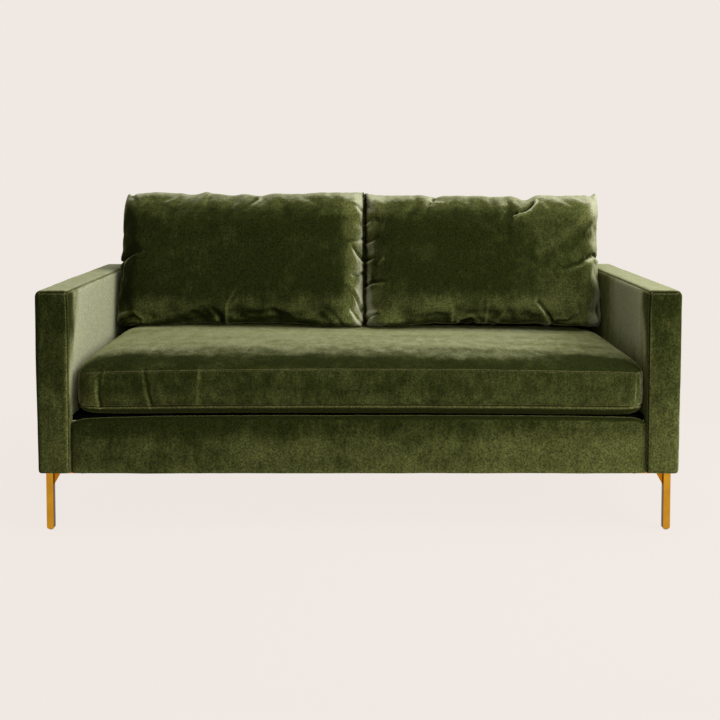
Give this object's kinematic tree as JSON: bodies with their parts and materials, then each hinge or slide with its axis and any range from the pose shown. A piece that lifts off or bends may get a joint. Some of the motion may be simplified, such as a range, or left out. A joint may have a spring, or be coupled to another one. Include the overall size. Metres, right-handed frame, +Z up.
{
  "type": "loveseat",
  "caption": "Velvet loveseat with slim track arms, a boxed bench seat cushion, loose back cushions and slim brass legs, for two people to sit on.",
  "frame": {"origin": "on the floor, under the middle of the body", "axes": "+Z up, +X along the seat to the right seen from the front, the front faces -Y"},
  "size_m": [1.727, 0.87, 0.8921],
  "materials": {
    "velvet": "olive cut-pile velvet",
    "foam": "open-cell foam and fibre",
    "black_cloth": "woven black cloth",
    "hardwood": "planed hardwood",
    "steel": "zinc-plated steel",
    "brass": "satin brass",
    "nylon": "black nylon",
    "zip_tape": "woven tape",
    "zip_metal": "dull brass"
  },
  "bodies": {
    "frame": {"back_bottom_rail": "hardwood", "back_centre_upright": "hardwood", "back_cover": "velvet", "back_foam": "foam", "back_left_upright": "hardwood", "back_right_upright": "hardwood", "back_tack_rail": "hardwood", "back_top_rail": "hardwood", "back_webbing": "black_cloth", "deck_cloth": "black_cloth", "deck_pad": "foam", "dust_cover": "black_cloth", "frame_bolts": "steel", "frame_tee_nuts": "steel", "front_left_leg": "brass", "front_rail_cover": "velvet", "front_rail_foam": "foam", "front_right_leg": "brass", "left_arm_bottom_rail": "hardwood", "left_arm_cover": "velvet", "left_arm_foam": "foam", "left_arm_front_post": "hardwood", "left_arm_middle_post": "hardwood", "left_arm_rear_post": "hardwood", "left_arm_top_rail": "hardwood", "leg_glides": "nylon", "leg_screws": "steel", "outside_back_panel": "velvet", "rear_left_leg": "brass", "rear_right_leg": "brass", "right_arm_bottom_rail": "hardwood", "right_arm_cover": "velvet", "right_arm_foam": "foam", "right_arm_front_post": "hardwood", "right_arm_middle_post": "hardwood", "right_arm_rear_post": "hardwood", "right_arm_top_rail": "hardwood", "seat_centre_stretcher": "hardwood", "seat_corner_blocks": "hardwood", "seat_front_rail": "hardwood", "seat_left_rail": "hardwood", "seat_rear_rail": "hardwood", "seat_right_rail": "hardwood", "seat_springs": "steel", "spring_clips": "steel", "spring_tie_wires": "steel"},
    "seat_cushion": {"seat_cushion_cover": "velvet", "seat_cushion_core": "foam", "seat_zip_tape": "zip_tape"},
    "left_back_cushion": {"left_back_cushion_cover": "velvet", "left_back_cushion_fill": "foam", "left_zip_tape": "zip_tape"},
    "right_back_cushion": {"right_back_cushion_cover": "velvet", "right_back_cushion_fill": "foam", "right_zip_tape": "zip_tape"},
    "seat_zip": {"seat_zip_slider": "zip_metal"},
    "left_zip": {"left_zip_slider": "zip_metal"},
    "right_zip": {"right_zip_slider": "zip_metal"}
  },
  "joints": [
    {"name": "seat_cushion_lift", "type": "slide", "parent": "frame", "child": "seat_cushion", "axis": [0, 0, 1], "range_m": [0, 0.4]},
    {"name": "left_back_cushion_lift", "type": "slide", "parent": "seat_cushion", "child": "left_back_cushion", "axis": [0, 0, 1], "range_m": [0, 0.35]},
    {"name": "right_back_cushion_lift", "type": "slide", "parent": "seat_cushion", "child": "right_back_cushion", "axis": [0, 0, 1], "range_m": [0, 0.35]},
    {"name": "seat_zip_run", "type": "slide", "parent": "seat_cushion", "child": "seat_zip", "axis": [1, 0, 0], "range_m": [0, 0.865]},
    {"name": "left_zip_run", "type": "slide", "parent": "left_back_cushion", "child": "left_zip", "axis": [-1, 0, 0], "range_m": [0, 0.445]},
    {"name": "right_zip_run", "type": "slide", "parent": "right_back_cushion", "child": "right_zip", "axis": [1, 0, 0], "range_m": [0, 0.445]}
  ]
}
